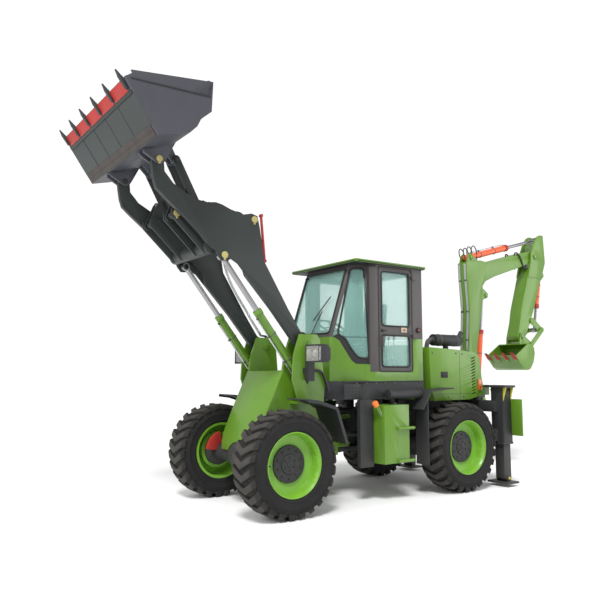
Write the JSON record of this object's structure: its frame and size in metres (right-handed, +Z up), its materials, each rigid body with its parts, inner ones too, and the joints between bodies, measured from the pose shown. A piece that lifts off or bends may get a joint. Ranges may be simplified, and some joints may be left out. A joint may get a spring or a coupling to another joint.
{
  "type": "backhoe loader",
  "caption": "Articulated wheeled loader with a lifting arm bucket in front, a glazed cab, and a swinging backhoe with sliding stabilisers behind.",
  "frame": {"origin": "on the ground under the middle of the overall box", "axes": "+X forwards, towards the loader bucket; +Y to the left; +Z up"},
  "size_m": [8.285, 2.424, 4.646],
  "materials": {
    "chassis_black": "satin",
    "body_green": "gloss",
    "cab_grey": "satin",
    "arm_dark": "satin",
    "hoe_orange": "gloss",
    "bucket_slate": "worn",
    "rim_green": "gloss",
    "tyre_rubber": "matte",
    "rod_chrome": "polished",
    "window_glass": "clear",
    "engine_iron": "rough",
    "seat_vinyl": "woven",
    "trim_plastic": "matte",
    "lamp_lens": "clear"
  },
  "bodies": {
    "chassis": {"rear_frame": "chassis_black", "engine_block": "engine_iron", "rear_axle": "chassis_black", "cab_body": "body_green", "cab_frame": "cab_grey", "cab_roof": "body_green", "cab_glass": "window_glass", "operator_seat": "seat_vinyl", "steering_console": "trim_plastic", "engine_hood": "body_green", "exhaust_muffler": "chassis_black", "side_tanks": "body_green", "side_decks": "chassis_black", "rear_fenders": "chassis_black", "backhoe_frame": "chassis_black", "rear_boards": "body_green", "rear_lamps": "lamp_lens"},
    "door_left": {"door_left": "cab_grey", "door_glass_left": "window_glass"},
    "door_right": {"door_right": "cab_grey", "door_glass_right": "window_glass"},
    "front": {"front_frame": "body_green", "front_axle": "chassis_black", "front_fenders": "chassis_black", "headlamps": "chassis_black"},
    "wheel_front_left": {"tyre_front_left": "tyre_rubber", "rim_front_left": "rim_green"},
    "wheel_front_right": {"tyre_front_right": "tyre_rubber", "rim_front_right": "rim_green"},
    "wheel_rear_left": {"tyre_rear_left": "tyre_rubber", "rim_rear_left": "rim_green"},
    "wheel_rear_right": {"tyre_rear_right": "tyre_rubber", "rim_rear_right": "rim_green"},
    "steer_barrel_left": {"steer_barrel_left": "chassis_black"},
    "steer_barrel_right": {"steer_barrel_right": "chassis_black"},
    "steer_rod_left": {"steer_rod_left": "rod_chrome"},
    "steer_rod_right": {"steer_rod_right": "rod_chrome"},
    "arms": {"loader_arms": "arm_dark"},
    "lift_barrels": {"lift_barrels": "body_green"},
    "lift_rods": {"lift_rods": "rod_chrome"},
    "tilt_barrels": {"tilt_barrels": "arm_dark"},
    "tilt_rods": {"tilt_rods": "rod_chrome"},
    "cranks": {"bell_cranks": "arm_dark"},
    "links": {"tilt_links": "arm_dark"},
    "bucket": {"loader_bucket": "bucket_slate"},
    "swing": {"swing_post": "chassis_black"},
    "boom": {"boom": "body_green"},
    "boom_barrel": {"boom_barrel": "hoe_orange"},
    "boom_rod": {"boom_rod": "rod_chrome"},
    "dipper": {"dipper": "body_green"},
    "dipper_barrel": {"dipper_barrel": "hoe_orange"},
    "dipper_rod": {"dipper_rod": "rod_chrome"},
    "hoe_bucket": {"hoe_bucket": "body_green"},
    "hoe_barrel": {"hoe_barrel": "hoe_orange"},
    "hoe_rod": {"hoe_rod": "rod_chrome"},
    "rocker": {"hoe_rocker": "body_green"},
    "link": {"hoe_link": "body_green"},
    "leg_left": {"stabiliser_left": "chassis_black"},
    "leg_right": {"stabiliser_right": "chassis_black"}
  },
  "joints": [
    {"name": "articulation", "type": "hinge", "parent": "chassis", "child": "front", "pos_m": [0.5645, 0, 0.83], "axis": [0, 0, 1], "range_deg": [-35, 35]},
    {"name": "door_left_hinge", "type": "hinge", "parent": "chassis", "child": "door_left", "pos_m": [-0.1775, 0.7, 2.28], "axis": [0, 0, 1], "range_deg": [0, 100]},
    {"name": "wheel_front_left_spin", "type": "hinge", "parent": "front", "child": "wheel_front_left", "pos_m": [1.9845, 0.83, 0.59], "axis": [0, 1, 0], "continuous": true},
    {"name": "wheel_rear_left_spin", "type": "hinge", "parent": "chassis", "child": "wheel_rear_left", "pos_m": [-0.8555, 0.83, 0.59], "axis": [0, 1, 0], "continuous": true},
    {"name": "steer_barrel_left_pivot", "type": "hinge", "parent": "chassis", "child": "steer_barrel_left", "pos_m": [0.0645, 0.4, 0.8], "axis": [0, 0, 1], "range_deg": [-14.4, 14.4]},
    {"name": "steer_rod_left_slide", "type": "slide", "parent": "steer_barrel_left", "child": "steer_rod_left", "axis": [0.9912, -0.1322, 0], "range_m": [-0.2014, 0.2014]},
    {"name": "door_right_hinge", "type": "hinge", "parent": "chassis", "child": "door_right", "pos_m": [-0.1775, -0.7, 2.28], "axis": [0, 0, 1], "range_deg": [-100, 0]},
    {"name": "wheel_front_right_spin", "type": "hinge", "parent": "front", "child": "wheel_front_right", "pos_m": [1.9845, -0.83, 0.59], "axis": [0, 1, 0], "continuous": true},
    {"name": "wheel_rear_right_spin", "type": "hinge", "parent": "chassis", "child": "wheel_rear_right", "pos_m": [-0.8555, -0.83, 0.59], "axis": [0, 1, 0], "continuous": true},
    {"name": "steer_barrel_right_pivot", "type": "hinge", "parent": "chassis", "child": "steer_barrel_right", "pos_m": [0.0645, -0.4, 0.8], "axis": [0, 0, 1], "range_deg": [-14.4, 14.4]},
    {"name": "steer_rod_right_slide", "type": "slide", "parent": "steer_barrel_right", "child": "steer_rod_right", "axis": [0.9912, 0.1322, 0], "range_m": [-0.2014, 0.2014]},
    {"name": "loader_lift", "type": "hinge", "parent": "front", "child": "arms", "pos_m": [1.4945, 0, 1.93], "axis": [0, 1, 0], "range_deg": [0, 85]},
    {"name": "lift_barrel_pivot", "type": "hinge", "parent": "front", "child": "lift_barrels", "pos_m": [1.5245, 0, 1.52], "axis": [0, 1, 0], "range_deg": [-0.5, 83.31]},
    {"name": "lift_rod_slide", "type": "slide", "parent": "lift_barrels", "child": "lift_rods", "axis": [0.6223, 0, 0.7828], "range_m": [-0.5546, 0.002]},
    {"name": "bucket_tilt", "type": "hinge", "parent": "arms", "child": "bucket", "pos_m": [3.4495, 0, 3.86], "axis": [0, 1, 0], "range_deg": [-50, 90]},
    {"name": "crank_pivot", "type": "hinge", "parent": "arms", "child": "cranks", "pos_m": [3.1645, 0, 3.34], "axis": [0, 1, 0], "range_deg": [-50.5, 90.5]},
    {"name": "tilt_link_pivot", "type": "hinge", "parent": "cranks", "child": "links", "pos_m": [2.8845, 0, 3.44], "axis": [0, 1, 0], "range_deg": [-90.5, 50.5]},
    {"name": "tilt_barrel_pivot", "type": "hinge", "parent": "arms", "child": "tilt_barrels", "pos_m": [2.2345, 0, 3.372], "axis": [0, 1, 0], "range_deg": [-2.65, 4.36]},
    {"name": "tilt_rod_slide", "type": "slide", "parent": "tilt_barrels", "child": "tilt_rods", "axis": [0.9699, 0, 0.2435], "range_m": [-0.1814, 0.325]},
    {"name": "boom_swing", "type": "hinge", "parent": "chassis", "child": "swing", "pos_m": [-2.0955, 0, 1], "axis": [0, 0, 1], "range_deg": [-90, 90]},
    {"name": "boom_lift", "type": "hinge", "parent": "swing", "child": "boom", "pos_m": [-2.1555, 0, 1.46], "axis": [0, 1, 0], "range_deg": [-105, 0]},
    {"name": "boom_barrel_pivot", "type": "hinge", "parent": "swing", "child": "boom_barrel", "pos_m": [-2.2855, 0, 1.16], "axis": [0, 1, 0], "range_deg": [-102.45, 0.5]},
    {"name": "boom_rod_slide", "type": "slide", "parent": "boom_barrel", "child": "boom_rod", "axis": [-0.1233, 0, 0.9924], "range_m": [-0.5153, 0.002]},
    {"name": "dipper_swing", "type": "hinge", "parent": "boom", "child": "dipper", "pos_m": [-3.8155, 0, 3.62], "axis": [0, 1, 0], "range_deg": [0, 105]},
    {"name": "dipper_barrel_pivot", "type": "hinge", "parent": "boom", "child": "dipper_barrel", "pos_m": [-2.1555, 0, 3.45], "axis": [0, 1, 0], "range_deg": [-4.42, 0.5]},
    {"name": "dipper_rod_slide", "type": "slide", "parent": "dipper_barrel", "child": "dipper_rod", "axis": [-0.965, 0, 0.2622], "range_m": [-0.5884, 0.002]},
    {"name": "hoe_curl", "type": "hinge", "parent": "dipper", "child": "hoe_bucket", "pos_m": [-3.3555, 0, 2.2], "axis": [0, 1, 0], "range_deg": [-30, 85]},
    {"name": "rocker_pivot", "type": "hinge", "parent": "dipper", "child": "rocker", "pos_m": [-3.6755, 0, 2.47], "axis": [0, 1, 0], "range_deg": [-30.5, 85.5]},
    {"name": "hoe_link_pivot", "type": "hinge", "parent": "rocker", "child": "link", "pos_m": [-3.9055, 0, 2.33], "axis": [0, 1, 0], "range_deg": [-85.5, 30.5]},
    {"name": "hoe_barrel_pivot", "type": "hinge", "parent": "dipper", "child": "hoe_barrel", "pos_m": [-4.0905, 0, 3.32], "axis": [0, 1, 0], "range_deg": [-3.37, 1.51]},
    {"name": "hoe_rod_slide", "type": "slide", "parent": "hoe_barrel", "child": "hoe_rod", "axis": [0.1837, 0, -0.983], "range_m": [-0.3312, 0.1182]},
    {"name": "leg_left_slide", "type": "slide", "parent": "chassis", "child": "leg_left", "axis": [0, 0, -1], "range_m": [-0.02, 0.3]},
    {"name": "leg_right_slide", "type": "slide", "parent": "chassis", "child": "leg_right", "axis": [0, 0, -1], "range_m": [-0.02, 0.3]}
  ],
  "couplings": [
    {"joint": "steer_barrel_left_pivot", "follows": "articulation", "ratio": 0.3973},
    {"joint": "steer_rod_left_slide", "follows": "articulation", "m_per_rad": -0.3264},
    {"joint": "steer_barrel_right_pivot", "follows": "articulation", "ratio": 0.3973},
    {"joint": "steer_rod_right_slide", "follows": "articulation", "m_per_rad": 0.3264},
    {"joint": "lift_barrel_pivot", "follows": "loader_lift", "ratio": 0.9742},
    {"joint": "lift_rod_slide", "follows": "loader_lift", "m_per_rad": -0.3725},
    {"joint": "crank_pivot", "follows": "bucket_tilt", "ratio": 1},
    {"joint": "tilt_link_pivot", "follows": "bucket_tilt", "ratio": -1},
    {"joint": "tilt_barrel_pivot", "follows": "bucket_tilt", "ratio": 0.0429},
    {"joint": "tilt_rod_slide", "follows": "bucket_tilt", "m_per_rad": 0.2056},
    {"joint": "boom_barrel_pivot", "follows": "boom_lift", "ratio": 0.971},
    {"joint": "boom_rod_slide", "follows": "boom_lift", "m_per_rad": 0.2801},
    {"joint": "dipper_barrel_pivot", "follows": "dipper_swing", "ratio": -0.0373},
    {"joint": "dipper_rod_slide", "follows": "dipper_swing", "m_per_rad": -0.32},
    {"joint": "rocker_pivot", "follows": "hoe_curl", "ratio": 1},
    {"joint": "hoe_link_pivot", "follows": "hoe_curl", "ratio": -1},
    {"joint": "hoe_barrel_pivot", "follows": "hoe_curl", "ratio": -0.0337},
    {"joint": "hoe_rod_slide", "follows": "hoe_curl", "m_per_rad": -0.2219}
  ]
}
